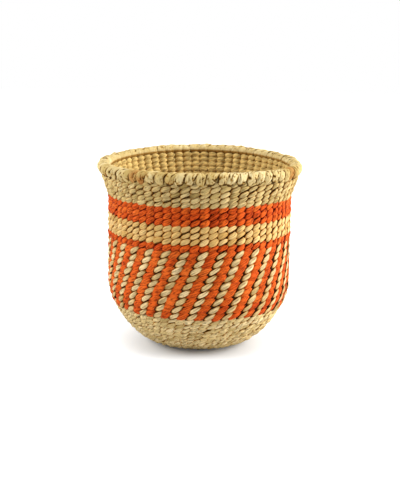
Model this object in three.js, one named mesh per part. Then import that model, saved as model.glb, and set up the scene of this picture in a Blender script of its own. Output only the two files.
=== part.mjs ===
// A small twined basket. Reeds bent double stand in a ring as stakes, pairs of grass strands are twined round
// them in level courses that change colour, and a bound rim closes the mouth.
// Millimetres, +Z up. The origin is the middle of the underside, and azimuth 0 faces -Y.
import * as THREE from "three";

// Overall shape, over the outside of the weave
const WALL_RADIUS = 67.6;
const BASE_FLAT_RADIUS = 29.7;
const SHOULDER_HEIGHT = 46.2; // where the rounded bottom has become a straight wall
const SHOULDER_FULLNESS = 0.4; // 0 is a straight slope, 0.55 about a quarter of an ellipse
const FLARE_HEIGHT = 19.8; // the top of the wall, which opens out below the rim
const FLARE_OUT = 5;
const FLARE_FULLNESS = 0.45;
const FLARE_END_LEAN_DEG = 12;

// Weave
const CLEARANCE = 0.3; // between pieces that touch
const STAKE_DIAMETER = 1.6;
const STAKE_SPACE = 0.8; // between neighbouring stakes where the last reeds are laid in
const STAKE_LEAN_DEG = 29; // how far the stakes turn from the flat base to the top of the stripes
const STRAND_THICKNESS = 2.4;
const COURSE_GROOVE = 0.8; // depth of the furrow between two courses

// Heights of one course of weft
const LOWER_COURSE_HEIGHT = 4.25;
const STRIPED_COURSE_HEIGHT = 5.5;
const ORANGE_COURSE_HEIGHT = 4.6;
const MIDDLE_COURSE_HEIGHT = 4.45;
const UPPER_COURSE_HEIGHT = 3.9;

// Bands of weft from the middle of the base, over the shoulder and up to the rim
const NATURAL = "#d6bd86";
const ORANGE = "#d95a20";
const REED = "#b9965a";
const BANDS = [
  { name: "base_natural_weft", courses: 7, courseHeight: LOWER_COURSE_HEIGHT },
  { name: "shoulder_natural_weft", courses: 5, courseHeight: LOWER_COURSE_HEIGHT },
  { name: "lower_natural_weft", courses: 5, courseHeight: LOWER_COURSE_HEIGHT },
  {
    name: "striped_weft",
    strands: ["orange", "natural"],
    courses: 9,
    courseHeight: STRIPED_COURSE_HEIGHT,
    outerColour: ORANGE,
    leaningStripes: true,
  },
  {
    name: "orange_line_weft",
    courses: 1,
    courseHeight: ORANGE_COURSE_HEIGHT,
    outerColour: ORANGE,
    innerColour: ORANGE,
  },
  { name: "middle_natural_weft", courses: 3, courseHeight: MIDDLE_COURSE_HEIGHT },
  {
    name: "orange_weft",
    courses: 3,
    courseHeight: ORANGE_COURSE_HEIGHT,
    outerColour: ORANGE,
    innerColour: ORANGE,
  },
  { name: "upper_natural_weft", courses: 4, courseHeight: UPPER_COURSE_HEIGHT },
];

// Rim
const RIM_CORE_DIAMETER = 5.4;
const RIM_WRAP_THICKNESS = 1.7;
const RIM_WRAP_WIDTH = 7.4;
const RIM_WRAP_TURNS = 50;
const WRAP_EDGE_WIDTH = 0.8; // where the strand's domed back turns down to its edge, as a share of its width
const WRAP_EDGE_HEIGHT = 0.7; // and of its thickness

// Facets
const WALL_FACETS = 32;
const RIM_FACETS = 64;
const RIM_CORE_SIDES = 6;
const REED_SIDES = 3; // the weave hides the reeds
const WRAP_STEPS_PER_TURN = 8;
const WRAP_END_STEPS = 2; // left open between the two ends of the wrap
const CURVE_STEP = 15; // longest facet along the curved parts of the wall

const { degToRad, lerp, smoothstep } = THREE.MathUtils;
const basket = new THREE.Group();

function fibre(colour) {
  return new THREE.MeshStandardMaterial({ color: colour, roughness: 0.85, metalness: 0 });
}

function addPiece(parent, name, geometry, colour) {
  const piece = new THREE.Mesh(geometry, fibre(colour));
  piece.name = name;
  parent.add(piece);
  return piece;
}

// The stakes lie in the middle of the wall, with one strand outside and one inside.
const backDepth = STAKE_DIAMETER / 2 + CLEARANCE;
const faceDepth = backDepth + STRAND_THICKNESS;

// Stake line: the half section that the stakes follow from the middle of the base to the rim. Its straight
// stretch is as long as the courses need.
const weftLength = BANDS.reduce((sum, band) => sum + band.courses * band.courseHeight, 0);
const stakeRadius = WALL_RADIUS - faceDepth;
const flareEndLean = Math.tan(degToRad(FLARE_END_LEAN_DEG));
const baseEdge = new THREE.Vector2(BASE_FLAT_RADIUS, faceDepth);
const shoulderTop = new THREE.Vector2(stakeRadius, SHOULDER_HEIGHT);
const shoulder = new THREE.CubicBezierCurve(
  baseEdge,
  new THREE.Vector2(lerp(baseEdge.x, shoulderTop.x, SHOULDER_FULLNESS), baseEdge.y),
  new THREE.Vector2(shoulderTop.x, lerp(shoulderTop.y, baseEdge.y, SHOULDER_FULLNESS)),
  shoulderTop,
);

function flareFrom(foot) {
  const reach = FLARE_FULLNESS * FLARE_HEIGHT;
  const end = new THREE.Vector2(foot.x + FLARE_OUT, foot.y + FLARE_HEIGHT);
  return new THREE.CubicBezierCurve(
    foot,
    new THREE.Vector2(foot.x, foot.y + reach),
    new THREE.Vector2(end.x - reach * flareEndLean, end.y - reach),
    end,
  );
}

const shoulderLength = shoulder.getLength();
const straightLength =
  weftLength - BASE_FLAT_RADIUS - shoulderLength - flareFrom(shoulderTop).getLength();
const wallTop = new THREE.Vector2(stakeRadius, SHOULDER_HEIGHT + straightLength);
const stakeLine = new THREE.CurvePath();
stakeLine.add(new THREE.LineCurve(new THREE.Vector2(0, faceDepth), baseEdge));
stakeLine.add(shoulder);
stakeLine.add(new THREE.LineCurve(shoulderTop, wallTop));
stakeLine.add(flareFrom(wallTop));
const shoulderStart = BASE_FLAT_RADIUS;
const shoulderEnd = shoulderStart + shoulderLength;
const flareStart = shoulderEnd + straightLength;

function onStakeLine(distance) {
  const share = Math.min(1, Math.max(0, distance / stakeLine.getLength()));
  const along = stakeLine.getTangent(share);
  return { point: stakeLine.getPoint(share), along, outward: new THREE.Vector2(along.y, -along.x) };
}

// A point of the half section at a distance along the stake line and a depth outside it.
function inSection(distance, depth) {
  const { point, outward } = onStakeLine(distance);
  return point.addScaledVector(outward, depth);
}

// Where the bands lie along the stake line.
let bandStart = 0;
for (const band of BANDS) {
  band.start = bandStart;
  band.end = bandStart + band.courses * band.courseHeight;
  bandStart = band.end;
}
const stripesTop = BANDS.find((band) => band.leaningStripes).end;

// Rim: its centre stands over the end of the stake line, clear of it by the wrap.
const coreRadius = RIM_CORE_DIAMETER / 2;
const wrapInside = (coreRadius + CLEARANCE) / Math.cos(Math.PI / WRAP_STEPS_PER_TURN);
const wrapOutside = wrapInside + RIM_WRAP_THICKNESS;
const rimSeat = wrapOutside + CLEARANCE;
const mouth = onStakeLine(weftLength);
const rimCentre = mouth.point.clone().addScaledVector(mouth.along, rimSeat);

// The top edge of the last course at a depth outside the stake line, where it rises beside the round rim.
function besideRim(depth) {
  const reach = Math.min(Math.abs(depth), rimSeat);
  const rise = rimSeat - Math.sqrt(rimSeat ** 2 - reach ** 2);
  return inSection(weftLength, depth).addScaledVector(mouth.along, rise);
}

// Windings: each band has a winding outside the stakes and one inside, lathed about the basket's axis.
const lathed = new THREE.Group();
lathed.rotation.x = Math.PI / 2;
basket.add(lathed);

function evenSteps(from, to, steps) {
  return Array.from({ length: steps }, (_, step) => lerp(from, to, (step + 1) / steps));
}

// Distances along the stake line at which every piece of the wall has points where the section is curved:
// the ends of the bands, and steps between them. So the facets of stakes and windings lie alike.
const curvedStations = [
  [shoulderStart, shoulderEnd],
  [flareStart, weftLength],
].flatMap(([from, to]) => {
  const inside = (end) => end > from + CLEARANCE && end < to - CLEARANCE;
  const bandEnds = BANDS.map((band) => band.end).filter(inside);
  const stops = [from, ...bandEnds, to];
  const stepsTo = (stop, index) => {
    const before = stops[Math.max(index - 1, 0)];
    return evenSteps(before, stop, Math.ceil((stop - before) / CURVE_STEP));
  };
  return [from, ...stops.flatMap(stepsTo)];
});

// Distances at which a plain face of a band has points: its ends, and those where it is curved.
function plainStations(band) {
  const first = firstStation(band);
  const last = lastStation(band);
  return [first, ...curvedStations.filter((at) => at > first + CLEARANCE && at < last - CLEARANCE), last];
}

function firstStation(band) {
  return band.start === 0 ? 0 : band.start + CLEARANCE / 2;
}

function lastStation(band) {
  return band.end === weftLength ? band.end : band.end - CLEARANCE / 2;
}

// The outside of a band: one ridge for each course with a furrow on either side, but flat under the base.
function ridgedFace(band) {
  const furrowDepth = faceDepth - COURSE_GROOVE;
  const face = [];
  const flatEnd = Math.min(shoulderStart, lastStation(band));
  if (band.start === 0) face.push(inSection(0, faceDepth), inSection(flatEnd, faceDepth));
  else face.push(inSection(firstStation(band), furrowDepth));
  for (let course = 0; course < band.courses; course += 1) {
    const ridge = band.start + (course + 0.5) * band.courseHeight;
    const furrow = Math.min(ridge + band.courseHeight / 2, lastStation(band));
    if (ridge > shoulderStart) face.push(inSection(ridge, faceDepth), inSection(furrow, furrowDepth));
  }
  if (band.end === weftLength) face.push(besideRim(faceDepth));
  return face;
}

// A faceted bore is drawn this much wider, so that its flats clear the round that it holds.
const boreGrowth = 1 / Math.cos(Math.PI / WALL_FACETS);

function widened(points) {
  return points.map((point) => new THREE.Vector2(point.x * boreGrowth, point.y));
}

function lathedRing(profile, facets) {
  const closed = profile[0].x === 0 ? profile : [...profile, profile[0]];
  return new THREE.LatheGeometry(closed, facets);
}

function plainFace(band, depth) {
  const face = plainStations(band).map((distance) => inSection(distance, depth));
  if (band.end === weftLength) face.push(besideRim(depth));
  return face;
}

for (const band of BANDS) {
  const outside = [...ridgedFace(band), ...widened(plainFace(band, backDepth)).reverse()];
  const inside = [...plainFace(band, -backDepth), ...plainFace(band, -faceDepth).reverse()];
  const [outer, inner] = band.strands ?? ["outer", "inner"];
  addPiece(lathed, `${band.name}_${outer}`, lathedRing(outside, WALL_FACETS), band.outerColour ?? NATURAL);
  addPiece(lathed, `${band.name}_${inner}`, lathedRing(inside, WALL_FACETS), band.innerColour ?? NATURAL);
}

// A closed tube through rings of points, each ring in the same order round the way that it runs.
function tubeThrough(rings) {
  const sides = rings[0].length;
  const last = (rings.length - 1) * sides;
  const triangles = [];
  for (let ring = 0; ring < rings.length - 1; ring += 1) {
    for (let side = 0; side < sides; side += 1) {
      const next = (side + 1) % sides;
      const here = ring * sides;
      const ahead = here + sides;
      triangles.push(here + side, here + next, ahead + side);
      triangles.push(ahead + side, here + next, ahead + next);
    }
  }
  for (let side = 1; side < sides - 1; side += 1) {
    triangles.push(0, side + 1, side);
    triangles.push(last, last + side, last + side + 1);
  }
  const tube = new THREE.BufferGeometry().setFromPoints(rings.flat());
  tube.setIndex(triangles);
  return tube;
}

// Rings of a section along a path. Each path point has a place and an outward direction, and a section point
// is a pair: how far sideways, and how far outward.
function ringsAlong(path, section) {
  return path.map(({ place, outward }, index) => {
    const before = path[Math.max(index - 1, 0)].place;
    const after = path[Math.min(index + 1, path.length - 1)].place;
    const ahead = new THREE.Vector3().subVectors(after, before).normalize();
    const sideways = new THREE.Vector3().crossVectors(ahead, outward).normalize();
    const up = new THREE.Vector3().crossVectors(sideways, ahead);
    return section.map(([side, out]) =>
      place.clone().addScaledVector(sideways, side).addScaledVector(up, out),
    );
  });
}

// Stakes: a reed bent double lies in each hairpin. Going out over the base, a first ring of hairpins is
// joined by a second and a third, each where there is room for twice as many stakes.
const SECTORS = 8; // the base repeats this often
const SECTOR_STAKES = 8;
const sectorAngle = (2 * Math.PI) / SECTORS;
const stakeStep = sectorAngle / SECTOR_STAKES;
const stakePitch = STAKE_DIAMETER + STAKE_SPACE;
const thirdRing = stakePitch / stakeStep;
const secondRing = thirdRing / 2;
const firstRing = thirdRing / 4;
const HAIRPINS = [
  { legs: [0, 7], bend: firstRing },
  { legs: [3, 4], bend: secondRing },
  { legs: [1, 2], bend: thirdRing },
  { legs: [5, 6], bend: thirdRing },
];

// Azimuth of one leg: evenly spread among the stakes that are there, ring by ring, and leaning up the wall.
function legAzimuth(leg, distance) {
  const evenly = (rank, count) => ((rank + 0.5) * sectorAngle) / count;
  const firstRank = HAIRPINS[0].legs.indexOf(leg);
  const amongAll = evenly(leg, SECTOR_STAKES);
  const amongTwoRings = evenly([0, 3, 4, 7].indexOf(leg), SECTOR_STAKES / 2);
  const amongFirst = evenly(firstRank, SECTOR_STAKES / 4);
  const lean = degToRad(STAKE_LEAN_DEG) * (smoothstep(distance, shoulderStart, stripesTop) - 1);
  const toAll = Math.min(1, Math.max(0, (distance - secondRing) / (thirdRing - secondRing)));
  if (amongTwoRings < 0) return lean + amongAll;
  if (firstRank < 0 || distance > secondRing) return lean + lerp(amongTwoRings, amongAll, toAll);
  const toTwo = Math.max(0, (distance - firstRing) / (secondRing - firstRing));
  return lean + lerp(amongFirst, amongTwoRings, toTwo);
}

function pathPoint(distance, azimuth) {
  const { point, outward } = onStakeLine(distance);
  const direction = new THREE.Vector3(Math.sin(azimuth), -Math.cos(azimuth), 0);
  const vertical = new THREE.Vector3(0, 0, 1);
  return {
    place: direction.clone().multiplyScalar(point.x).addScaledVector(vertical, point.y),
    outward: direction.multiplyScalar(outward.x).addScaledVector(vertical, outward.y),
  };
}

function hairpinPath({ legs, bend }) {
  const stations = [
    bend,
    ...[secondRing, thirdRing].filter((distance) => distance > bend + CLEARANCE),
    ...curvedStations.filter((distance) => distance > bend && distance < stripesTop),
    lerp(shoulderEnd, stripesTop, 0.5),
    stripesTop,
    ...curvedStations.filter((distance) => distance > stripesTop),
  ];
  const [down, up] = legs.map((leg) =>
    stations.map((distance) => pathPoint(distance, legAzimuth(leg, distance))),
  );
  const centre = (legAzimuth(legs[0], bend) + legAzimuth(legs[1], bend)) / 2;
  const halfAngle = (legAzimuth(legs[1], bend) - legAzimuth(legs[0], bend)) / 2;
  const halfWidth = halfAngle * onStakeLine(bend).point.x;
  const turn = [-1, 1].map((side) =>
    pathPoint(bend - halfWidth * Math.sin(Math.PI / 3), centre + side * halfAngle * Math.cos(Math.PI / 3)),
  );
  return [...down.reverse(), ...turn, ...up];
}

const stakeRound = STAKE_DIAMETER / 2;
const REED_SECTION = Array.from({ length: REED_SIDES }, (_, side) => {
  const turn = (2 * Math.PI * side) / REED_SIDES;
  return [stakeRound * Math.sin(turn), stakeRound * Math.cos(turn)];
});
let reedNumber = 0;
for (let sector = 0; sector < SECTORS; sector += 1) {
  for (const hairpin of HAIRPINS) {
    reedNumber += 1;
    const name = `stake_pair_${String(reedNumber).padStart(2, "0")}`;
    const reed = tubeThrough(ringsAlong(hairpinPath(hairpin), REED_SECTION));
    addPiece(basket, name, reed, REED).rotation.z = sector * sectorAngle;
  }
}

// Start knot: the button between the two windings of the base that the first hairpins bend round.
const firstHalfWidth = (sectorAngle / SECTOR_STAKES) * 2 * firstRing;
const startKnotRadius = firstRing - firstHalfWidth - stakeRound - CLEARANCE;
const startKnot = new THREE.CylinderGeometry(startKnotRadius, startKnotRadius, STAKE_DIAMETER, SECTORS * 2);
addPiece(lathed, "start_knot", startKnot, REED).position.y = faceDepth;

// Rim core: the bundled stake ends, a ring that sits on the last course with the wrap between.
const coreProfile = Array.from({ length: RIM_CORE_SIDES }, (_, side) => {
  const turn = (2 * Math.PI * side) / RIM_CORE_SIDES;
  return new THREE.Vector2(
    rimCentre.x + coreRadius * Math.cos(turn),
    rimCentre.y + coreRadius * Math.sin(turn),
  );
});
addPiece(lathed, "rim_core", lathedRing(coreProfile, RIM_FACETS), REED);

// Rim wrap: one flat strand, domed outside, wound round the core all the way round the mouth from the back.
const wrapHalf = RIM_WRAP_WIDTH / 2;
const WRAP_SECTION = [
  [-wrapHalf, 0],
  [-wrapHalf * WRAP_EDGE_WIDTH, RIM_WRAP_THICKNESS * WRAP_EDGE_HEIGHT],
  [0, RIM_WRAP_THICKNESS],
  [wrapHalf * WRAP_EDGE_WIDTH, RIM_WRAP_THICKNESS * WRAP_EDGE_HEIGHT],
  [wrapHalf, 0],
];
const wrapSteps = RIM_WRAP_TURNS * WRAP_STEPS_PER_TURN;
const foot = Math.atan2(-mouth.along.y, -mouth.along.x);
const wrapPath = [];
for (let step = 0; step <= wrapSteps - WRAP_END_STEPS; step += 1) {
  const azimuth = Math.PI + (2 * Math.PI * step) / wrapSteps;
  const turn = foot + (2 * Math.PI * step) / WRAP_STEPS_PER_TURN;
  const direction = new THREE.Vector3(Math.sin(azimuth), -Math.cos(azimuth), 0);
  const outward = direction.clone().multiplyScalar(Math.cos(turn)).setZ(Math.sin(turn));
  const place = direction.multiplyScalar(rimCentre.x).setZ(rimCentre.y);
  wrapPath.push({ place: place.addScaledVector(outward, wrapInside), outward });
}
const wrapRings = ringsAlong(wrapPath, WRAP_SECTION);
addPiece(basket, "rim_wrap", tubeThrough(wrapRings), NATURAL);

// The least gap between one turn of the wrap and the next, measured on the points of the strand's edges.
function leastGap(rings) {
  const halfTurn = WRAP_STEPS_PER_TURN / 2;
  let least = Infinity;
  rings.forEach((ring, index) => {
    const nextTurn = rings.slice(index + halfTurn, index + WRAP_STEPS_PER_TURN + halfTurn).flat();
    for (const point of ring) {
      for (const other of nextTurn) least = Math.min(least, point.distanceTo(other));
    }
  });
  return least;
}
console.log(`rim wrap: ${leastGap(wrapRings).toFixed(2)} mm between turns`);

export default basket;
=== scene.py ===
import math

import bpy
import numpy as np
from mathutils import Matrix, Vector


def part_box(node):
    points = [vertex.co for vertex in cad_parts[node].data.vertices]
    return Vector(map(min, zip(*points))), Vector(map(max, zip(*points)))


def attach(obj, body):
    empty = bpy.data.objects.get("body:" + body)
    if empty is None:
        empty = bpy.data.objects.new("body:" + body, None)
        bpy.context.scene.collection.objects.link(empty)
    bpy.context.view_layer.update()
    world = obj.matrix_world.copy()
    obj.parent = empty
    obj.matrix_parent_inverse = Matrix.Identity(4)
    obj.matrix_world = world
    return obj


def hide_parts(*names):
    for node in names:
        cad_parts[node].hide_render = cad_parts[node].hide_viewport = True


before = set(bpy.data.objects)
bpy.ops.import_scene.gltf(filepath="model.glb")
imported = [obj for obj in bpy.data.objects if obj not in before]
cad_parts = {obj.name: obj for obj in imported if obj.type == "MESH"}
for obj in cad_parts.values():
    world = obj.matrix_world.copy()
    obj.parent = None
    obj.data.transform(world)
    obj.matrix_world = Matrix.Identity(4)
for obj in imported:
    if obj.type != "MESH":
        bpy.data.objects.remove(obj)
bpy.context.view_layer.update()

# Start knot: the button in the middle of the base that the weaving starts from. A strip of split reed is
# knotted on itself and pulled tight, and the first stakes bend round it.
MM = 0.001  # sizes are in millimetres and meshes in metres
BASE_MIDDLE = 3.5  # height of the stakes where they cross the base
KNOT_RING = 2.3
KNOT_LOOP = 1.3
KNOT_STRAND = 0.95
KNOT_ROUNDS = 2
KNOT_LOOPS = 3
KNOT_STEPS = 120
KNOT_SIDES = 10
REED_TONE = 0.5  # a shade half way between the darkest stalk and the palest


def unit(vectors):
    return vectors / np.linalg.norm(vectors, axis=-1, keepdims=True)


def sweep(path, outward, across, over, closed=True):
    """Rings of points along a path: each ring lies across the path, and over is its outward direction."""
    if closed:
        ahead = unit(np.roll(path, -1, axis=0) - np.roll(path, 1, axis=0))
    else:
        ahead = unit(np.gradient(path, axis=0))
    sideways = unit(np.cross(ahead, outward))
    upward = np.cross(sideways, ahead)
    return path[:, None] + sideways[:, None] * across[..., None] + upward[:, None] * over[..., None]


def even_turn(sides):
    return np.linspace(0, 2 * np.pi, sides, endpoint=False)


def round_section(half_width, half_thickness, turn, roundness=1.0):
    """How far across and over the points of an oval section lie, for each place on a path. Turn holds the
    points' angles from outward, and a section of less roundness is flatter on its faces."""
    squared = np.reshape(roundness, (-1, 1))
    side, face = (np.sign(wave) * np.abs(wave) ** squared for wave in (np.sin(turn), np.cos(turn)))
    return half_width[:, None] * side, half_thickness[:, None] * face


def strand(rings, tone, hollow, closed=True):
    """A swept strand with the shade of its fibre, and how deep in the weave each place lies, both 0 to 1. The
    depth sets painted shade: a place is painted dark where it lies deeper than about a half."""
    shape = rings.shape[:2]
    return {
        "rings": rings,
        "tone": np.broadcast_to(tone, shape),
        "hollow": np.broadcast_to(hollow, shape),
        "closed": closed,
    }


RUN_RINGS = 80  # a strand is laid out flat in runs of this many rings for its baked picture
RUN_MARGIN = 0.04  # share of a run's length and height that stays clear at its edges
ROWS_TO_COLUMNS = 4  # runs are long and low, so they are stacked in more rows than columns


def strand_object(name, strands, material):
    """One smooth mesh of many strands, laid out flat run by run, with the place along and round each strand,
    in millimetres, as a second map."""
    runs = [math.ceil(len(each["rings"]) / RUN_RINGS) for each in strands]
    columns = max(1, round(math.sqrt(sum(runs) / ROWS_TO_COLUMNS)))
    rows = math.ceil(sum(runs) / columns)
    points, corners, sizes, flat, fibre = [], [], [], [], []
    first_point = 0
    first_run = 0
    for each, run_count in zip(strands, runs):
        rings = each["rings"]
        count, sides = rings.shape[:2]
        centres = rings.mean(axis=1)
        steps = np.linalg.norm(np.roll(centres, -1, axis=0) - centres, axis=1)
        lengths = np.concatenate([[0], np.cumsum(steps)])
        edges = np.linalg.norm(np.roll(rings, -1, axis=1) - rings, axis=2).mean(axis=0)
        girths = np.concatenate([[0], np.cumsum(edges)])
        segments = count if each["closed"] else count - 1
        segment, side = np.meshgrid(np.arange(segments), np.arange(sides), indexing="ij")
        along = segment[..., None] + np.array([0, 0, 1, 1])
        around = side[..., None] + np.array([0, 1, 1, 0])
        run = segment[..., None] // RUN_RINGS
        share = RUN_MARGIN + (1 - 2 * RUN_MARGIN) * (along / RUN_RINGS - run)
        level = RUN_MARGIN + (1 - 2 * RUN_MARGIN) * around / sides
        column = (first_run + run) % columns
        row = (first_run + run) // columns
        points.append(rings.reshape(-1, 3))
        corners.append((first_point + along % count * sides + around % sides).ravel())
        sizes.append(np.full(segments * sides, 4))
        flat.append(np.stack([(column + share) / columns, (row + level) / rows], axis=-1).reshape(-1, 2))
        fibre.append(np.stack([lengths[along], girths[around]], axis=-1).reshape(-1, 2))
        if not each["closed"]:
            ends = np.concatenate([np.arange(sides)[::-1], (count - 1) * sides + np.arange(sides)])
            corners.append(first_point + ends)
            sizes.append(np.full(2, sides))
            flat.append(np.full((2 * sides, 2), flat[-1][0]))
            fibre.append(np.zeros((2 * sides, 2)))
        first_point += count * sides
        first_run += run_count
    faces = np.concatenate(sizes)
    mesh = bpy.data.meshes.new(name)
    mesh.vertices.add(first_point)
    mesh.vertices.foreach_set("co", (np.concatenate(points) * MM).ravel())
    mesh.loops.add(faces.sum())
    mesh.loops.foreach_set("vertex_index", np.concatenate(corners).astype(np.int32))
    mesh.polygons.add(len(faces))
    mesh.polygons.foreach_set("loop_start", (np.cumsum(faces) - faces).astype(np.int32))
    mesh.polygons.foreach_set("use_smooth", np.ones(len(faces), bool))
    mesh.update(calc_edges=True)
    for map_name, values in (("OFBake", flat), ("fibre", fibre)):
        layer = mesh.uv_layers.new(name=map_name)
        layer.data.foreach_set("uv", np.concatenate(values).astype(np.float32).ravel())
    for attribute in ("tone", "hollow"):
        values = np.concatenate([each[attribute].ravel() for each in strands])
        layer = mesh.attributes.new(attribute, "FLOAT", "POINT")
        layer.data.foreach_set("value", values.astype(np.float32))
    mesh.materials.append(material)
    made = bpy.data.objects.new(name, mesh)
    bpy.context.scene.collection.objects.link(made)
    return made


def linear(colour):
    """An sRGB hex colour as the linear values that a shader takes."""
    channels = [int(colour[place:place + 2], 16) / 255 for place in (1, 3, 5)]
    return [*(c / 12.92 if c <= 0.04045 else ((c + 0.055) / 1.055) ** 2.4 for c in channels), 1.0]


def add_node(material, kind, settings, links=None):
    """Adds a node, with its settings by input or property name, and its links by input name."""
    node = material.node_tree.nodes.new(kind)
    for name, value in settings.items():
        if isinstance(name, int) or name in node.inputs:
            node.inputs[name].default_value = value
        else:
            setattr(node, name, value)
    for name, source in (links or {}).items():
        material.node_tree.links.new(source, node.inputs[name])
    return node


LINE_DETAIL = 4.0
LINE_BREAKS = 0.6  # how ragged the lines between fibres are
LINE_START = 0.42  # where in the noise a line starts to darken
LINE_FULL = 0.72
FIBRE_RIDGE = 0.2
RIDGE_STRENGTH = 0.7
GLOSS_SPREAD = 0.12
DRY_SPECULAR = 0.07  # dry fibre scatters nearly all light and mirrors almost none
SHADE_START = 0.25  # how deep in the weave a strand starts to take painted shade
CREASE_START = 0.48  # how deep it turns to the painted dark of a crease
CREASE_END = 0.62


def plant_fibre(name, colours, hollow, fibre_width, roughness, grain=0.22, fibre_run=14.0, shade="#d2a460"):
    """Dry plant fibre, split and twisted by hand: matt, with fine lines along it, and each length of it
    another shade. The colours go from the darkest stalk to the palest, and hollow is the colour of the lines
    between fibres and of the painted shade between the strands. A fibre shows for about the length of its run
    before it goes under. Its width and run are in millimetres, and drawn coarser than real fibres, so that
    they show in the render. Grain is how dark the lines between fibres are, and shade is the colour that
    multiplies a colour beside a crease, as painted shade. The mesh's hollow values say where that painted
    shade goes."""
    material = bpy.data.materials.new(name)
    material.use_nodes = True
    material.node_tree.nodes.clear()
    surface = add_node(material, "ShaderNodeUVMap", {"uv_map": "fibre"})
    drawn_out = add_node(
        material,
        "ShaderNodeMapping",
        {"Scale": (1 / fibre_run, 1 / fibre_width, 1)},
        {"Vector": surface.outputs["UV"]},
    )
    lines = add_node(
        material,
        "ShaderNodeTexNoise",
        {"noise_dimensions": "2D", "Scale": 1.0, "Detail": LINE_DETAIL, "Roughness": LINE_BREAKS},
        {"Vector": drawn_out.outputs["Vector"]},
    )
    tone = add_node(material, "ShaderNodeAttribute", {"attribute_name": "tone"})
    stalk = add_node(material, "ShaderNodeValToRGB", {}, {"Fac": tone.outputs["Fac"]})
    stops = stalk.color_ramp.elements
    for place in np.linspace(0, 1, len(colours))[1:-1]:
        stops.new(place)
    for stop, colour in zip(stops, colours):
        stop.color = linear(colour)
    depth = add_node(
        material,
        "ShaderNodeMapRange",
        {"From Min": LINE_START, "From Max": LINE_FULL, "To Min": 0.0, "To Max": grain},
        {"Value": lines.outputs["Fac"]},
    )
    lined = add_node(
        material,
        "ShaderNodeMixRGB",
        {"Color2": linear(hollow)},
        {"Fac": depth.outputs["Result"], "Color1": stalk.outputs["Color"]},
    )
    # Painted shade, by the mesh's hollow values: beside a crease the colour is multiplied by shade, and in
    # the crease it turns to the hollow colour.
    sunken = add_node(material, "ShaderNodeAttribute", {"attribute_name": "hollow"})
    beside = add_node(
        material,
        "ShaderNodeMapRange",
        {"From Min": SHADE_START, "From Max": CREASE_START},
        {"Value": sunken.outputs["Fac"]},
    )
    painted_shading = add_node(
        material,
        "ShaderNodeMixRGB",
        {"blend_type": "MULTIPLY", "Color2": linear(shade)},
        {"Fac": beside.outputs["Result"], "Color1": lined.outputs["Color"]},
    )
    crease = add_node(
        material,
        "ShaderNodeMapRange",
        {"From Min": CREASE_START, "From Max": CREASE_END, "interpolation_type": "SMOOTHSTEP"},
        {"Value": sunken.outputs["Fac"]},
    )
    shaded = add_node(
        material,
        "ShaderNodeMixRGB",
        {"Color2": linear(hollow)},
        {"Fac": crease.outputs["Result"], "Color1": painted_shading.outputs["Color"]},
    )
    gloss = add_node(
        material,
        "ShaderNodeMapRange",
        {"To Min": roughness - GLOSS_SPREAD, "To Max": roughness + GLOSS_SPREAD},
        {"Value": lines.outputs["Fac"]},
    )
    ridges = add_node(
        material,
        "ShaderNodeBump",
        {"Strength": RIDGE_STRENGTH, "Distance": FIBRE_RIDGE * MM},
        {"Height": lines.outputs["Fac"]},
    )
    shader = add_node(
        material,
        "ShaderNodeBsdfPrincipled",
        {"Specular IOR Level": DRY_SPECULAR},
        {
            "Base Color": shaded.outputs["Color"],
            "Roughness": gloss.outputs["Result"],
            "Normal": ridges.outputs["Normal"],
        },
    )
    add_node(material, "ShaderNodeOutputMaterial", {}, {"Surface": shader.outputs["BSDF"]})
    return material


# Split reed: the brown skin of a dry reed, smoother than grass, with faint long lines.
split_reed = plant_fibre(
    "split_reed", ["#8d6a38", "#b9965a", "#cdb078"], hollow="#4a3114", fibre_width=0.5, roughness=0.6
)
knot_turn = even_turn(KNOT_STEPS)
knot_reach = KNOT_RING + KNOT_LOOP * np.cos(KNOT_LOOPS * knot_turn)
knot_path = np.stack(
    [
        knot_reach * np.cos(KNOT_ROUNDS * knot_turn),
        knot_reach * np.sin(KNOT_ROUNDS * knot_turn),
        BASE_MIDDLE + KNOT_LOOP * np.sin(KNOT_LOOPS * knot_turn),
    ],
    axis=-1,
)
knot_half = np.full(KNOT_STEPS, KNOT_STRAND)
knot_section = round_section(knot_half, knot_half, even_turn(KNOT_SIDES))
knot_rings = sweep(knot_path, np.broadcast_to([0.0, 0.0, 1.0], knot_path.shape), *knot_section)
knot = strand_object("start_knot_tied", [strand(knot_rings, REED_TONE, 0.0)], split_reed)
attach(knot, "root")
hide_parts("start_knot")

# Stakes: 32 thin reeds, each bent double, so that 64 stakes stand round the wall. They are laid in three
# rings as the base grows, lie between the two strands of every course, and lean to the right on the way up.
BASE_FLAT_RADIUS = 29.7
STAKE_WALL_RADIUS = 64.1
SHOULDER_TOP = 46.2
SHOULDER_FULLNESS = 0.4
FLARE_HEIGHT = 19.8
FLARE_OUT = 5.0
FLARE_FULLNESS = 0.45
FLARE_LEAN = math.radians(12)
WEFT_LENGTH = 169.1  # from the middle of the base to the rim, along a stake
LIP_COURSES = 2  # the wall goes on up behind the rim by this many courses
LIP_COURSE_HEIGHT = 3.8
LIP_HEIGHT = LIP_COURSES * LIP_COURSE_HEIGHT
STRIPES_TOP = 121.75
STAKE_LEAN = math.radians(29)
STAKE_THICKNESS = 1.6
SECTORS = 8
SECTOR_STAKES = 8
STAKES = SECTORS * SECTOR_STAKES
SECTOR = 2 * np.pi / SECTORS
STAKE_PITCH = 2.4  # between neighbours where the last reeds are laid in
THIRD_RING = STAKE_PITCH * STAKES / (2 * np.pi)
SECOND_RING = THIRD_RING / 2
FIRST_RING = THIRD_RING / 4
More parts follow.
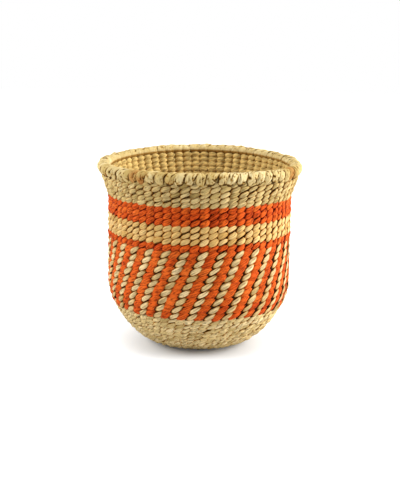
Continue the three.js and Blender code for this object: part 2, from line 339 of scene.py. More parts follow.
# The two stakes of a sector that each reed makes, and the ring where it is bent.
HAIRPINS = [((0, 7), FIRST_RING), ((3, 4), SECOND_RING), ((1, 2), THIRD_RING), ((5, 6), THIRD_RING)]
LEG_STEPS = 64
BEND_STEPS = 7
REED_SIDES = 8
CURVE_POINTS = 120
SWELLS = [(0.5, 2, 1.0), (0.3, 3, 2.2)]  # size of a swell of the wall, how many go round, where it starts
SIDE_DIP = 1.05
RIGHT_RISE = 0.4
BACK_RISE = 0.5
MOUTH_SINK = 0.55
WAVE_RISE = 6  # the waviness of the mouth dies away fast below it


def bezier(*points):
    start, first, second, end = (np.array(point, float) for point in points)
    share = np.linspace(0, 1, CURVE_POINTS)[:, None]
    rest = 1 - share
    return rest**3 * start + 3 * rest**2 * share * first + 3 * rest * share**2 * second + share**3 * end


def measured(line):
    """Distance of each point of a line from its start."""
    return np.concatenate([[0], np.cumsum(np.linalg.norm(np.diff(line, axis=0), axis=1))])


shoulder = bezier(
    (BASE_FLAT_RADIUS, BASE_MIDDLE),
    (BASE_FLAT_RADIUS + SHOULDER_FULLNESS * (STAKE_WALL_RADIUS - BASE_FLAT_RADIUS), BASE_MIDDLE),
    (STAKE_WALL_RADIUS, SHOULDER_TOP - SHOULDER_FULLNESS * (SHOULDER_TOP - BASE_MIDDLE)),
    (STAKE_WALL_RADIUS, SHOULDER_TOP),
)
flare_reach = FLARE_FULLNESS * FLARE_HEIGHT
flare = bezier(
    (0, 0),
    (0, flare_reach),
    (FLARE_OUT - flare_reach * math.tan(FLARE_LEAN), FLARE_HEIGHT - flare_reach),
    (FLARE_OUT, FLARE_HEIGHT),
)
straight = WEFT_LENGTH - BASE_FLAT_RADIUS - measured(shoulder)[-1] - measured(flare)[-1]
wall_top = np.array([STAKE_WALL_RADIUS, SHOULDER_TOP + straight])
lip = [[math.sin(FLARE_LEAN) * LIP_HEIGHT, math.cos(FLARE_LEAN) * LIP_HEIGHT]]
stake_line = np.concatenate([[[0, BASE_MIDDLE]], shoulder, wall_top + flare, wall_top + flare[-1] + lip])
stake_distance = measured(stake_line)
stake_ahead = unit(np.gradient(stake_line, axis=0))
stake_outward = np.stack([stake_ahead[:, 1], -stake_ahead[:, 0]], axis=-1)


def across_line(values, distance):
    """Values given along the stakes' line, at a distance along it."""
    return np.interp(distance, stake_distance, values)


def round_axis(radius, height, azimuth):
    """Places at a radius and height, at an azimuth counted from the front, -Y, to the right."""
    return np.stack([radius * np.sin(azimuth), -radius * np.cos(azimuth), height + 0 * azimuth], axis=-1)


def out_of_round(azimuth):
    """How far the hand-made wall stands outside a true circle."""
    return sum(size * np.sin(count * azimuth + start) for size, count, start in SWELLS)


def mouth_wave(azimuth):
    """How far the hand-made mouth stands above a level one: low on both sides and high at the back."""
    tipped = RIGHT_RISE * np.sin(azimuth) - BACK_RISE * np.cos(azimuth)
    return SIDE_DIP * np.cos(2 * azimuth) + tipped - MOUTH_SINK


def on_wall(distance, depth, azimuth):
    """Places at a distance along the stakes, a depth outside them and an azimuth. The outward direction comes
    with them."""
    out_radius = across_line(stake_outward[:, 0], distance)
    out_height = across_line(stake_outward[:, 1], distance)
    unevenness = out_of_round(azimuth) * distance / WEFT_LENGTH
    radius = across_line(stake_line[:, 0], distance) + depth * out_radius + unevenness
    height = across_line(stake_line[:, 1], distance) + depth * out_height
    height = height + mouth_wave(azimuth) * np.minimum(distance / WEFT_LENGTH, 1) ** WAVE_RISE
    return round_axis(radius, height, azimuth), round_axis(out_radius, out_height, azimuth)


def lean(distance):
    """How far the stakes have turned about the axis at a distance along them."""
    share = np.clip((distance - BASE_FLAT_RADIUS) / (STRIPES_TOP - BASE_FLAT_RADIUS), 0, 1)
    return STAKE_LEAN * (share * share * (2 - share) - 1)


def leg_azimuth(leg, distance):
    """Azimuth of one stake of a sector: ring by ring, it makes room for the stakes laid in beside it."""
    rings = [(range(SECTOR_STAKES), THIRD_RING), ((0, 3, 4, 7), SECOND_RING), ((0, 7), FIRST_RING)]
    places = [((ring.index(leg) + 0.5) * SECTOR / len(ring), start) for ring, start in rings if leg in ring]
    distances = [start for _, start in reversed(places)]
    return np.interp(distance, distances, [place for place, _ in reversed(places)]) + lean(distance)


reeds = []
for sector in range(SECTORS):
    for legs, bend in HAIRPINS:
        up = np.linspace(bend, WEFT_LENGTH, LEG_STEPS)
        left, right = (leg_azimuth(leg, up) for leg in legs)
        half_turn = np.linspace(-np.pi / 2, np.pi / 2, BEND_STEPS)[1:-1]
        half_angle = (right[0] - left[0]) / 2
        bend_distance = bend - half_angle * bend * np.cos(half_turn)
        bend_azimuth = left[0] + half_angle * (1 + np.sin(half_turn))
        reed_distance = np.concatenate([up[::-1], bend_distance, up])
        reed_azimuth = np.concatenate([left[::-1], bend_azimuth, right]) + sector * SECTOR
        reed_path, reed_outward = on_wall(reed_distance, 0.0, reed_azimuth)
        half_reed = np.full(len(reed_path), STAKE_THICKNESS / 2)
        reed_section = round_section(half_reed, half_reed, even_turn(REED_SIDES))
        reed_rings = sweep(reed_path, reed_outward, *reed_section, closed=False)
        reeds.append(strand(reed_rings, REED_TONE, 0.0, closed=False))
stakes = strand_object("reed_stakes", reeds, split_reed)
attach(stakes, "root")
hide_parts(*(f"stake_pair_{number:02d}" for number in range(1, len(reeds) + 1)))

# Base and lower weft: the natural courses from the knot over the flat base, the shoulder and the belly. Each
# is a pair of twisted grass strands that pass either side of every stake and cross between stakes.
LOWER_COURSE_HEIGHT = 4.25
BASE_COURSES = 7
SHOULDER_COURSES = 5
LOWER_COURSES = 5
LOWER_STITCH = {
    "fullness": 0.5,
    "relief": 1.6,
    "half_thickness": 1.6,
    "slant": 0.34,
    "unevenness": 2.0,
    "outline": 0.72,
    "taper": 0.95,
}
# Places along one stitch, closer at the crossings, and angles round a strand, closer at a stitch's edges.
STITCH_PLACES = np.array([0, 0.14, 0.26, 0.36, 0.44, 0.5, 0.56, 0.64, 0.74, 0.86])
STRAND_TURN = np.radians([0, 40, 68, 90, 112, 140, 180, 220, 248, 270, 292, 320])
FULL_PITCH = 5.5  # stakes this far apart leave room for full stitches
CLOSE_PITCH = 3.0  # stakes closer than this are twined two at a time
CLOSE_ROOM = 0.75  # share of a stitch's width that close stakes leave
# How far a stitch reaches to either side of its stake, as a share of half the way to the next one. It is more
# than 1, so the end of a stitch lies over the start of the next.
START_REACH = 1.22
END_REACH = 1.4
INNER_GAP = 0.2  # how far past the crossing a strand starts to show on the inside
PINCH = 0.16  # half the width of a strand at the tips of a stitch, as a share of the course's height
START_LENS = 0.9  # a stitch widens slowly from its start and stays wide up to its end
END_LENS = 0.5
INNER_FULLNESS = 0.58  # half the width of a stitch on the inside, as a share of the course's height
INNER_WIDENING = 0.3  # how fast it gets that wide: less is faster
BEHIND_RISE = 5  # how fast a strand comes back to the middle of its course behind a stake
TIP_THICKNESS = 0.75  # of a strand at the tips of a stitch, as a share of its middle
THICKENING = 0.7  # how fast it thickens from there: less is faster
OUTER_ROUNDNESS = 0.95
INNER_FLATNESS = 0.35  # how much less round a strand is on the inside
EDGE_SHADE_RANGE = (0.75, 1.2)  # how much the painted shade along the edges differs from stitch to stitch
# how narrow the band of painted shade along the edges of a stitch is: more is narrower
EDGE_THINNESS = 1.25
INSIDE_GAP_SHADE = 0.38  # the painted shade in the gaps between stitches is lighter on the inside of the wall
INSIDE_EDGE_SHADE = 0.5  # and so is the painted shade along the edges of its stitches, by this share
START_POINT = 1.1  # its painted tip shade makes a stitch start in a point and end more bluntly
END_POINT = 1.5
END_FADE = 0.65  # how dark the painted shade at the end of a stitch is, as a share of its start
TIP_SKEW = 0.6  # the painted shade of the first tip lies low on the strand, and that of the last tip high
LIFT_SPREAD = 0.2
BULGE_SPREAD = 0.15
HIGHEST_BULGE = 0.3
PLUMP_SPREAD = 0.08
SHIFT_SPREAD = 0.06
SLANT_SPREAD = 0.12
TONE_RUN = 8  # stitches in a length of one stalk
STALK_TONES = (0.2, 0.6)
STITCH_TONES = (-0.15, 0.15)
INSIDE_TONE = 1.0  # the last colour of a weft is the one its inner face takes
# How fast the painted shade of tips and edges, and the tone, turn to those of the inner face, past a
# crossing.
TIP_TURN = 2
EDGE_SHADE_TURN = 3
TONE_TURN = 4
twine_draws = np.random.default_rng(5)


def eased(values, stake):
    """Values given at the stakes, or at the turns of the wrap, blended along the strand between them."""
    before = np.floor(stake).astype(int)
    share = (1 - np.cos(np.pi * (stake - before))) / 2
    return values[before % len(values)] * (1 - share) + values[(before + 1) % len(values)] * share


def stitch_tones(stitches, stake, inner):
    """A shade for each stitch that shows, near that of the stitches made with the same stalk."""
    stalks = twine_draws.uniform(*STALK_TONES, max(1, stitches // TONE_RUN))
    each = twine_draws.uniform(*STITCH_TONES, stitches)
    outside = eased(stalks, stake / TONE_RUN) + each[np.floor(stake + 0.5).astype(int) % stitches]
    return outside + (INSIDE_TONE - outside) * np.clip(TONE_TURN * inner, 0, 1)


def twined_strand(
    distance,
    height,
    second,
    fullness,
    relief,
    half_thickness,
    slant,
    unevenness=1.0,
    outline=1.0,
    taper=0.95,
    reach=1.0,
    sharpness=1.0,
    inward=0.0,
):
    """One of the two strands of a course. It rises to the right over one stake, crosses its twin and drops
    behind the next stake. Fullness and slant are shares of the course's height, and relief is how far a
    stitch stands out. Outline is how dark the painted shade along the edges of its stitches is, and taper
    how dark the painted shade at their tips. Reach is how long the stitches are, sharpness how pointed, and
    inward how far the course is pushed in."""
    radius = across_line(stake_line[:, 0], distance)
    stakes_there = STAKES if distance > THIRD_RING else STAKES // 2 if distance > SECOND_RING else STAKES // 4
    stitches = stakes_there if 2 * np.pi * radius / stakes_there > CLOSE_PITCH else stakes_there // 2
    room = CLOSE_ROOM + (1 - CLOSE_ROOM) * min(1, 2 * np.pi * radius / stitches / FULL_PITCH)
    stake = (np.arange(stitches)[:, None] + STITCH_PLACES).ravel()
    turn = np.pi * (stake + second)
    from_stake = (turn + np.pi) % (2 * np.pi) - np.pi
    starting = from_stake < 0
    outer = np.clip(np.cos(from_stake / (reach * np.where(starting, START_REACH, END_REACH))), 0, 1)
    inner = np.clip(-(np.cos(turn) + INNER_GAP) / (1 - INNER_GAP), 0, 1)
    lift, bulge, plump, shift, tilt = (
        eased(twine_draws.normal(0, unevenness * spread, stitches), stake)
        for spread in (LIFT_SPREAD, BULGE_SPREAD, PLUMP_SPREAD, SHIFT_SPREAD, SLANT_SPREAD)
    )
    in_front = (1 + tilt * outer) * from_stake / (np.pi / 2)
    rise = height * slant * np.where(outer > 0, in_front, np.sin(turn) ** BEHIND_RISE)
    place = distance + rise + lift * outer**2
    azimuth = (stake + shift * outer**2 + 0.5) * 2 * np.pi / stitches + lean(place)
    standing_out = relief + np.minimum(bulge, HIGHEST_BULGE)
    depth = standing_out * np.sqrt(outer) - relief * np.sqrt(inner) - inward
    path, outward = on_wall(place, depth, azimuth)
    pinched = PINCH * height
    full = fullness * height * room
    inner_full = INNER_FULLNESS * height
    lens = outer ** (sharpness * np.where(starting, START_LENS, END_LENS))
    inner_lens = inner**INNER_WIDENING
    half_width = pinched + (full * (1 + plump) - pinched) * lens + (inner_full - pinched) * inner_lens
    thickening = np.maximum(outer, inner) ** THICKENING
    thickness = half_thickness * (TIP_THICKNESS + (1 - TIP_THICKNESS) * thickening)
    roundness = OUTER_ROUNDNESS - INNER_FLATNESS * np.sqrt(inner)
    across, over = round_section(half_width, thickness, STRAND_TURN, roundness)
    # Painted shade: the edges of each stitch, and its tips where it goes under, are darkened for the shade
    # that falls in the grooves and gaps of the weave.
    edge_shade = outline * eased(twine_draws.uniform(*EDGE_SHADE_RANGE, stitches), stake)
    edge_shade = edge_shade * (1 - INSIDE_EDGE_SHADE * np.clip(EDGE_SHADE_TURN * inner, 0, 1))
    edges = (1 - np.abs(np.cos(STRAND_TURN))) ** EDGE_THINNESS * edge_shade[:, None]
    point = np.where(starting, START_POINT, END_POINT)
    tip_shade = taper * np.where(starting, 1, END_FADE)
    tips = tip_shade * (1 - np.clip(outer + TIP_TURN * inner, 0, 1)) ** point
    skewed = 1 + TIP_SKEW * np.sin(turn)[:, None] * np.sin(STRAND_TURN)
    hollow = edges + tips[:, None] * np.where(np.cos(STRAND_TURN) < 0, INSIDE_GAP_SHADE, skewed)
    tones = stitch_tones(stitches, stake, inner)
    return strand(sweep(path, outward, across, over), tones[:, None], np.clip(hollow, 0, 1))


def twined_course(distance, height, **build):
    return [twined_strand(distance, height, second, **build) for second in (0, 1)]


# Sun-dried grass: pale and matt, frayed into short fibres, with soft shallow creases of painted shade.
lower_grass = plant_fibre(
    "sun_dried_grass",
    ["#a4884c", "#d3b97e", "#e0c892", "#ecd7a6", "#c9ab64"],
    hollow="#4a3408",
    fibre_width=1.0,
    roughness=0.72,
    grain=0.75,
    fibre_run=3.0,
)
woven = LOWER_COURSE_HEIGHT  # the knot fills the first course
LOWER_BANDS = [
    ("base_natural_weft", BASE_COURSES - 1),
    ("shoulder_natural_weft", SHOULDER_COURSES),
    ("lower_natural_weft", LOWER_COURSES),
]
for band, courses in LOWER_BANDS:
    strands = []
    for course in range(courses):
        strands += twined_course(woven + LOWER_COURSE_HEIGHT / 2, LOWER_COURSE_HEIGHT, **LOWER_STITCH)
        woven += LOWER_COURSE_HEIGHT
    weft = strand_object(f"{band}_twined", strands, lower_grass)
    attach(weft, "root")
    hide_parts(f"{band}_outer", f"{band}_inner")

# Striped weft: nine courses of one natural and one dyed strand of twisted grass. Each keeps to every other
# stake, so the two colours stand in stripes that lean with the stakes. The orange one is fuller and softer.
STRIPED_COURSE_HEIGHT = 5.5
STRIPED_COURSES = 9
NATURAL_STITCH = {
    "fullness": 0.4,
    "relief": 2.1,
    "half_thickness": 1.6,
    "slant": 0.42,
    "outline": 1.5,
    "taper": 1.4,
    "reach": 0.92,
    "sharpness": 0.5,
}
ORANGE_STITCH = {
    "fullness": 0.52,
    "relief": 2.0,
    "half_thickness": 1.25,
    "slant": 0.36,
    "unevenness": 1.6,
    "outline": 0.75,
    "taper": 0.75,
    "reach": 1.05,
}
# Pale grass: picked clean and twisted hard, so it is smooth and light, with nearly black painted shade in its
# creases.
stripe_grass = plant_fibre(
    "pale_grass",
    ["#b4955a", "#cbae76", "#dcc18c", "#ecd2a1", "#d2b269"],
    hollow="#2c1400",
    fibre_width=1.1,
    roughness=0.7,
    grain=0.68,
    fibre_run=6.0,
)
# Vermilion-dyed grass: matt, with the dye darker where it has soaked in between the fibres, and dark red
# painted shade in its creases.
orange_grass = plant_fibre(
    "vermilion_dyed_grass",
    ["#b83f0c", "#ce5015", "#da5f1c", "#e87129", "#c8440b"],
    hollow="#480800",
    fibre_width=0.85,
    roughness=0.75,
    grain=0.95,
    fibre_run=4.0,
)
natural_strands, orange_strands = [], []
for course in range(STRIPED_COURSES):
    middle = woven + STRIPED_COURSE_HEIGHT / 2
    natural_strands.append(twined_strand(middle, STRIPED_COURSE_HEIGHT, 0, **NATURAL_STITCH))
    orange_strands.append(twined_strand(middle, STRIPED_COURSE_HEIGHT, 1, **ORANGE_STITCH))
    woven += STRIPED_COURSE_HEIGHT
natural_stripes = strand_object("striped_weft_natural_twined", natural_strands, stripe_grass)
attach(natural_stripes, "root")
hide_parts("striped_weft_natural")
orange_stripes = strand_object("striped_weft_orange_twined", orange_strands, orange_grass)
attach(orange_stripes, "root")
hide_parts("striped_weft_orange")

# Wall bands: above the stripes a single orange course, three natural ones, three orange ones and four natural
# ones, all twined with two grass strands of one colour. The last courses flare out to the rim, and the
# highest ones stand behind it.
WALL_STITCH = {
    "fullness": 0.49,
    "relief": 2.0,
    "half_thickness": 1.6,
    "slant": 0.38,
    "unevenness": 1.3,
    "outline": 1.0,
    "taper": 1.1,
    "sharpness": 0.8,
}
UPPER_STITCH = {**WALL_STITCH, "fullness": 0.52, "slant": 0.37, "unevenness": 1.8, "outline": 0.8}
LIP_INWARD = 0.3  # the courses behind the rim are pushed in by the wrap
# Golden straw: whole stalks with their skin on, so it is yellower and a little shinier, with long lines.
straw = plant_fibre(
    "golden_straw",
    ["#b88a42", "#d3ab66", "#deb977", "#eac98c", "#c9ab64"],
    hollow="#2c1400",
    fibre_width=1.1,
    roughness=0.66,
    grain=0.55,
    fibre_run=7.0,
)
# Weathered grass: greyed by light and handling, dull and uneven, with worn fibres.
old_grass = plant_fibre(
    "weathered_grass",
    ["#8f7438", "#bea366", "#ccb176", "#ddc489", "#d4b46d"],
    hollow="#331f06",
    fibre_width=1.1,
    roughness=0.75,
    grain=0.72,
    fibre_run=5.0,
)
WALL_BANDS = [
    ("orange_line_weft", 1, 4.6, orange_grass, "orange_fibre", WALL_STITCH),
    ("middle_natural_weft", 3, 4.45, straw, "natural_fibre", WALL_STITCH),
    ("orange_weft", 3, 4.6, orange_grass, "orange_fibre", WALL_STITCH),
    ("upper_natural_weft", 4, 3.9, old_grass, "natural_fibre", UPPER_STITCH),
]
for band, courses, course_height, grass, slot, stitch in WALL_BANDS:
    strands = []
    for course in range(courses):
        strands += twined_course(woven + course_height / 2, course_height, **stitch)
        woven += course_height
    if band == "upper_natural_weft":
        for course in range(LIP_COURSES):
            lip_middle = woven + LIP_COURSE_HEIGHT * (course + 0.5)
            strands += twined_course(lip_middle, LIP_COURSE_HEIGHT, **stitch, inward=LIP_INWARD)
    weft = strand_object(f"{band}_twined", strands, grass)
    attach(weft, "root")
    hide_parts(f"{band}_outer", f"{band}_inner")

# Rim core: the ends of the stakes, bent over and laid round the mouth as a twisted bundle of seven reeds, one
# of them in the middle. The wrap hides it but for the gaps between its turns.
CORE_RADIUS = 2.7
CORE_REED = 0.95
CORE_REEDS = 7
CORE_TWISTS = 11
CORE_STEPS = 256
CORE_TONE = 0.4
CORE_DEPTH = 0.3  # how deep in the weave it lies, which gives it a little painted shade
core_low, core_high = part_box("rim_core")
RIM_HEIGHT = (core_low.z + core_high.z) / 2 / MM
RIM_RADIUS = core_high.x / MM - CORE_RADIUS


def on_rim(azimuth, turn, reach):
    """Places round the rim: turn goes round its roll, from outward by way of the top, and reach is from its
    middle. The outward direction comes with them."""
    out_radius = np.cos(turn)
    out_height = np.sin(turn)
    radius = RIM_RADIUS + out_of_round(azimuth) + reach * out_radius
    height = RIM_HEIGHT + mouth_wave(azimuth) + reach * out_height
    return round_axis(radius, height, azimuth), round_axis(out_radius, out_height, azimuth)


core_azimuth = even_turn(CORE_STEPS)
core_half = np.full(CORE_STEPS, CORE_REED)
core_section = round_section(core_half, core_half, even_turn(REED_SIDES))
core_reeds = []
for number in range(CORE_REEDS):
    reach = 0.0 if number == CORE_REEDS - 1 else CORE_RADIUS - CORE_REED
    core_turn = CORE_TWISTS * core_azimuth + number * 2 * np.pi / (CORE_REEDS - 1)
    core_path, core_outward = on_rim(core_azimuth, core_turn, reach)
    core_rings = sweep(core_path, core_outward, *core_section)
    core_reeds.append(strand(core_rings, CORE_TONE, CORE_DEPTH))
core = strand_object("rim_core_bundle", core_reeds, split_reed)
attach(core, "root")
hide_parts("rim_core")

# Rim wrap: a loose bundle of grass fibres wound round the core, one turn for each stake. Each turn puffs up
# to a knob on the outside of the roll, and goes down through the weave just under the rim.
WRAP_TURNS = STAKES
WRAP_STEPS = 28
WRAP_POINTS = 40  # across the top of the bundle
WRAP_UNDERSIDE = 4
UNDERSIDE_SHARE = 0.9  # of the bundle's width
UNDERSIDE_SINK = 0.3
WRAP_REACH = 3.4
WRAP_DROP = 1.4  # how much further the wrap reaches down, to the last course
DROP_STEEPNESS = 2.8
WRAP_TUCK = 1.5  # how much closer it lies low down inside, where the lip of the wall stands
TUCK_STEEPNESS = 4
WRAP_HALF_WIDTH = 3.75
WRAP_GATHER = 0.4  # how much narrower it is where it goes down through the weave
WRAP_THICKNESS = 0.9
WRAP_PUFF = 2.1
PUFF_STEEPNESS = 1.2
WRAP_SINK = 1.1  # how much closer to the core the middle of a knob lies
# Sides of the roll, as angles from outward by way of the top: a turn's foot, its knob, and the wall's lip.
WRAP_FOOT = -math.pi / 2 - FLARE_LEAN
KNOB_SIDE = math.radians(16)
LIP_SIDE = math.radians(225)
WRAP_BOW = 0.24  # how far a knob bows to the left, as a share of a turn
WRAP_SPREADS = (0.06, 0.15, 0.06)  # of its width, its swelling and its place
HALF_TURNS = 2  # in a turn: width, swelling, place, tufts and partings change at each
SWAYS = 3  # in a turn
CURLS = 8  # in a turn
CURLS_ACROSS = 3
FIBRES_ACROSS = 14
FIBRE_LENGTHS = 18  # in a turn
FIBRE_HEIGHT = 0.4
FIBRE_SWAY = 0.2
FIBRE_CURL = 0.2
TUFTS_ACROSS = 4
TUFT_HEIGHT = 0.3
INSIDE_ROUGHNESS = 0.3  # fibres are worn down on the inside of the roll
TOP_ROUGHNESS = 0.95
TURN_TONES = [0.1, 0.15, 0.5, 0.55, 0.6, 0.6, 0.65, 0.65, 0.7, 0.75]  # two turns in ten are browned
INNER_TURN_TONE = 0.62  # the turns are more alike on the inside of the roll
INNER_EVENNESS = 0.8
FIBRE_TONES = 0.15
# The painted shade in the parting between two turns: how much it varies, how far up the turn's side it
# goes, how fast it fades there, how much wider it is on a knob and at the foot, and how faint it is
# elsewhere.
PARTING_RANGE = (0.52, 1.0)
PARTING_WIDTH = 1.55
PARTING_FADE = 2.0
KNOB_PARTING = 0.12
FOOT_PARTING = 0.55
PLAIN_PARTING = 0.65
SUNKEN_FIBRES = 1.05  # how dark the painted shade between sunken fibres is
FOOT_DARKNESS = 2.2  # the foot of a turn lies in the shade of the roll, darkest under the thick tufts
FOOT_START = 1.1
RIM_SHADOW_SIDE = math.radians(200)  # the side of the roll, inward and a little down, that is painted brown as the shadow line under the rim
RIM_SHADOW_STEEPNESS = 2.4
RIM_SHADOW_START = 1.6
RIM_SHADOW_DEPTH = 0.53
wrap_draws = np.random.default_rng(11)


def eased_patches(along_count, across_count, along, across):
    """Random values from -1 to 1 at the places of a grid, blended in between. Along runs round the rim."""
    values = wrap_draws.uniform(-1, 1, (along_count, across_count + 1))
    row = np.floor(along).astype(int)
    column = np.clip(np.floor(across).astype(int), 0, across_count - 1)
    down = (1 - np.cos(np.pi * (along - row))) / 2
    right = (1 - np.cos(np.pi * (across - column))) / 2
    first = values[row % along_count, column] * (1 - right) + values[row % along_count, column + 1] * right
    row = row + 1
    second = values[row % along_count, column] * (1 - right) + values[row % along_count, column + 1] * right
    return first * (1 - down) + second * down


wrap_turn = np.arange(WRAP_TURNS * WRAP_STEPS) / WRAP_STEPS
half_turns = HALF_TURNS * wrap_turn
wrap_width, wrap_swell, wrap_sway = (
    eased(wrap_draws.normal(0, spread, HALF_TURNS * WRAP_TURNS), half_turns) for spread in WRAP_SPREADS
)
wrap_roll = WRAP_FOOT + 2 * np.pi * wrap_turn
downward = np.clip(np.cos(wrap_roll - WRAP_FOOT), 0, 1)
outside = np.clip(np.cos(wrap_roll - KNOB_SIDE), 0, 1)
beside_lip = np.clip(np.cos(wrap_roll - LIP_SIDE), 0, 1)
wrap_azimuth = np.pi + 2 * np.pi * (wrap_turn + wrap_sway - WRAP_BOW * outside) / WRAP_TURNS
half_across = WRAP_HALF_WIDTH * (1 + wrap_width) * (1 - WRAP_GATHER * downward**2)
puff = (WRAP_THICKNESS + WRAP_PUFF * outside**PUFF_STEEPNESS) * (1 + wrap_swell)
dropped = WRAP_DROP * downward**DROP_STEEPNESS
tucked = WRAP_TUCK * beside_lip**TUCK_STEEPNESS
wrap_reach = WRAP_REACH + dropped - tucked - WRAP_SINK * outside
wrap_path, wrap_outward = on_rim(wrap_azimuth, wrap_roll, wrap_reach)
top_share = np.linspace(-1, 1, WRAP_POINTS)
top_dome = np.sqrt(np.clip(1 - top_share**2, 0, 1))
along = np.broadcast_to(wrap_turn[:, None], (len(wrap_turn), WRAP_POINTS))
across = np.broadcast_to((top_share + 1) / 2, along.shape)
curl = eased_patches(WRAP_TURNS * CURLS, CURLS_ACROSS, along * CURLS, across * CURLS_ACROSS)
sway = eased(wrap_draws.normal(0, FIBRE_SWAY, SWAYS * WRAP_TURNS), SWAYS * wrap_turn)[:, None]
fibre_across = np.clip(across + sway * top_dome + FIBRE_CURL * curl, 0, 1)
fibres = eased_patches(
    WRAP_TURNS * FIBRE_LENGTHS, FIBRES_ACROSS, along * FIBRE_LENGTHS, fibre_across * FIBRES_ACROSS
)
tufts = eased_patches(WRAP_TURNS * HALF_TURNS, TUFTS_ACROSS, along * HALF_TURNS, fibre_across * TUFTS_ACROSS)
on_top = np.clip(np.sin(wrap_roll), 0, 1)[:, None]
knob_roughness = INSIDE_ROUGHNESS + (1 - INSIDE_ROUGHNESS) * outside[:, None]
roughness = np.maximum(knob_roughness, TOP_ROUGHNESS * on_top)
roughened = (FIBRE_HEIGHT * fibres + TUFT_HEIGHT * tufts) * roughness * np.sqrt(top_dome)
underside = np.linspace(UNDERSIDE_SHARE, -UNDERSIDE_SHARE, WRAP_UNDERSIDE)
wrap_across = half_across[:, None] * np.concatenate([top_share, underside])
flat_under = np.full((len(wrap_turn), WRAP_UNDERSIDE), -UNDERSIDE_SINK)
wrap_over = np.concatenate([puff[:, None] * top_dome + roughened, flat_under], axis=1)
wrap_rings = sweep(wrap_path, wrap_outward, wrap_across, wrap_over)

turn_tones = eased(wrap_draws.choice(TURN_TONES, WRAP_TURNS), wrap_turn)[:, None]
within = np.clip(-np.cos(wrap_roll), 0, 1)[:, None]
turn_tones = turn_tones + INNER_EVENNESS * within * (INNER_TURN_TONE - turn_tones)
wrap_tones = np.clip(turn_tones + FIBRE_TONES * tufts + FIBRE_TONES * fibres, 0, 1)
parted = eased(wrap_draws.uniform(*PARTING_RANGE, HALF_TURNS * WRAP_TURNS), half_turns)
parted = parted * (PLAIN_PARTING + (1 - PLAIN_PARTING) * np.sqrt(np.maximum(outside, downward)))
parting_width = PARTING_WIDTH + KNOB_PARTING * outside + FOOT_PARTING * downward**2
between = parted[:, None] * np.clip(parting_width[:, None] - PARTING_FADE * top_dome, 0, 1)
sunken = np.clip(-SUNKEN_FIBRES * fibres, 0, 1) * roughness
beneath = np.clip((FOOT_DARKNESS + tufts) * downward[:, None] - FOOT_START, 0, 1)
# Painted shadow: towards the inner lower side of the roll the wrap is darkened, as the shadow line under the
# rim.
place_x, place_y, place_z = np.moveaxis(wrap_rings[:, :WRAP_POINTS], -1, 0)
place_azimuth = np.arctan2(place_x, -place_y)
out_there = np.hypot(place_x, place_y) - RIM_RADIUS - out_of_round(place_azimuth)
up_there = place_z - RIM_HEIGHT - mouth_wave(place_azimuth)
from_rim_shadow = np.arctan2(up_there, out_there) - RIM_SHADOW_SIDE
rim_shadow = np.clip(RIM_SHADOW_STEEPNESS * np.cos(from_rim_shadow) - RIM_SHADOW_START, 0, RIM_SHADOW_DEPTH)
wrap_hollows = np.maximum(np.maximum(between, beneath), np.maximum(sunken, rim_shadow))
# The flat underside, against the core, takes full painted shade.
under_tones = np.zeros_like(flat_under)
under_hollows = np.ones_like(flat_under)
# Wrapping grass: a loose bundle of thin dry leaves, pale and dull, with brown ones among them.
wrap_grass = plant_fibre(
    "wrapping_grass",
    ["#b07a3e", "#bba060", "#d1ba82", "#e6d7a6"],
    hollow="#483212",
    fibre_width=0.4,
    roughness=0.75,
    shade="#c9ac7c",
)
wrap_strand = strand(
    wrap_rings,
    np.concatenate([wrap_tones, under_tones], axis=1),
    np.concatenate([wrap_hollows, under_hollows], axis=1),
)
wrap = strand_object("rim_wrap_wound", [wrap_strand], wrap_grass)
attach(wrap, "root")
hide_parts("rim_wrap")

# Ground and light: a white sheet, with soft light from both sides and above, and a white room round it. The
# camera looks from a little above the mouth, as in the photograph. Lengths here are in metres.
FLOOR_RADIUS = 2.0
FLOOR_SIDES = 96
GREY_MIDDLE = (0.0, -0.01, 0.0)  # round this place the sheet shows as a darker copy of itself, as painted shade, and further out it glows white, as painted light
GREY_NARROWING = (1.4, 1.0, 1.0)
GREY_REACH = 0.035
WHITE_REACH = 0.12
GREY_GLOW = 0.06
ROOM_LIGHT = 0.28
LAMP_WIDTH = 0.8
# Name, place, and power in watts.
LAMPS = [
    ("right_softbox", (1.15, -0.06, 0.62), 28.5),
    ("left_softbox", (-1.15, -0.1, 0.7), 17.5),
    ("top_softbox", (0.0, -0.35, 1.3), 4.8),
]
CAMERA_DISTANCE = 1.0
CAMERA_PITCH = math.radians(11.8)
CAMERA_ROLL = math.radians(0.8)
CAMERA_AIM = (0.0, 0.0, 0.072)
CAMERA_LENS = 99.6  # in millimetres
CAMERA_SHIFT = 0.0024  # as a share of the picture's longer side


def seen_share(material):
    """1 where the camera sees a place, straight, mirrored or through something clear, and 0 for the light
    that the place gives to other things."""
    path = add_node(material, "ShaderNodeLightPath", {})
    bent = add_node(
        material,
        "ShaderNodeMath",
        {"operation": "MAXIMUM"},
        {0: path.outputs["Is Glossy Ray"], 1: path.outputs["Is Transmission Ray"]},
    )
    seen = add_node(
        material,
        "ShaderNodeMath",
        {"operation": "MAXIMUM"},
        {0: path.outputs["Is Camera Ray"], 1: bent.outputs["Value"]},
    )
    return seen.outputs["Value"]


bpy.ops.mesh.primitive_circle_add(vertices=FLOOR_SIDES, radius=FLOOR_RADIUS, fill_type="NGON")
floor = bpy.context.object
floor.name = "floor"
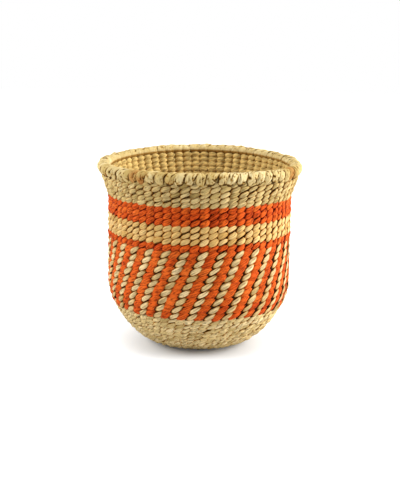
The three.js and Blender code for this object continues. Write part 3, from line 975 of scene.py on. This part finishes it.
# White paper: matt and smooth. To the camera it glows to plain white away from the basket, as under strong
# light, a painted light. Close to the basket it shows as a greyer copy of itself, which keeps the shadow and
# deepens it with painted shade.
paper = bpy.data.materials.new("white_paper")
paper.use_nodes = True
paper.node_tree.nodes.clear()
place_on_floor = add_node(paper, "ShaderNodeTexCoord", {})
narrowed = add_node(
    paper,
    "ShaderNodeVectorMath",
    {"operation": "MULTIPLY", 1: GREY_NARROWING},
    {0: place_on_floor.outputs["Object"]},
)
floor_reach = add_node(
    paper,
    "ShaderNodeVectorMath",
    {"operation": "DISTANCE", 1: GREY_MIDDLE},
    {0: narrowed.outputs["Vector"]},
)
glow = add_node(
    paper,
    "ShaderNodeMapRange",
    {"From Min": GREY_REACH, "From Max": WHITE_REACH, "To Min": GREY_GLOW, "To Max": 1.0},
    {"Value": floor_reach.outputs["Value"]},
)
sheet = add_node(paper, "ShaderNodeBsdfDiffuse", {"Color": linear("#e9eaed")})
near_sheet = add_node(paper, "ShaderNodeBsdfDiffuse", {"Color": linear("#c4c5c7")})
lit = add_node(paper, "ShaderNodeEmission", {}, {"Strength": glow.outputs["Result"]})
white = add_node(
    paper,
    "ShaderNodeAddShader",
    {},
    {0: near_sheet.outputs["BSDF"], 1: lit.outputs["Emission"]},
)
shown = add_node(
    paper,
    "ShaderNodeMixShader",
    {},
    {0: seen_share(paper), 1: sheet.outputs["BSDF"], 2: white.outputs["Shader"]},
)
add_node(paper, "ShaderNodeOutputMaterial", {}, {"Surface": shown.outputs["Shader"]})
floor.data.materials.append(paper)

world = bpy.data.worlds.new("white_room")
bpy.context.scene.world = world
world.use_nodes = True
world.node_tree.nodes.clear()
level = add_node(
    world, "ShaderNodeMapRange", {"To Min": ROOM_LIGHT, "To Max": 1.0}, {"Value": seen_share(world)}
)
room = add_node(
    world, "ShaderNodeBackground", {"Color": linear("#ffffff")}, {"Strength": level.outputs["Result"]}
)
add_node(world, "ShaderNodeOutputWorld", {}, {"Surface": room.outputs["Background"]})

for lamp_name, lamp_place, lamp_power in LAMPS:
    lamp_data = bpy.data.lights.new(lamp_name, "AREA")
    lamp_data.size = LAMP_WIDTH
    lamp_data.energy = lamp_power
    lamp = bpy.data.objects.new(lamp_name, lamp_data)
    lamp.location = lamp_place
    aim = Vector(CAMERA_AIM) - Vector(lamp_place)
    lamp.rotation_euler = aim.to_track_quat("-Z", "Y").to_euler()
    bpy.context.scene.collection.objects.link(lamp)

camera_data = bpy.data.cameras.new("camera")
camera_data.lens = CAMERA_LENS
camera_data.shift_x = CAMERA_SHIFT
camera = bpy.data.objects.new("camera", camera_data)
back = Vector((0.0, -math.cos(CAMERA_PITCH), math.sin(CAMERA_PITCH)))
camera.location = Vector(CAMERA_AIM) + back * CAMERA_DISTANCE
camera.rotation_mode = "QUATERNION"
roll = Matrix.Rotation(CAMERA_ROLL, 3, "Z").to_quaternion()
camera.rotation_quaternion = (-back).to_track_quat("-Z", "Y") @ roll
bpy.context.scene.collection.objects.link(camera)
bpy.context.scene.camera = camera
bpy.context.scene.view_settings.view_transform = "Standard"
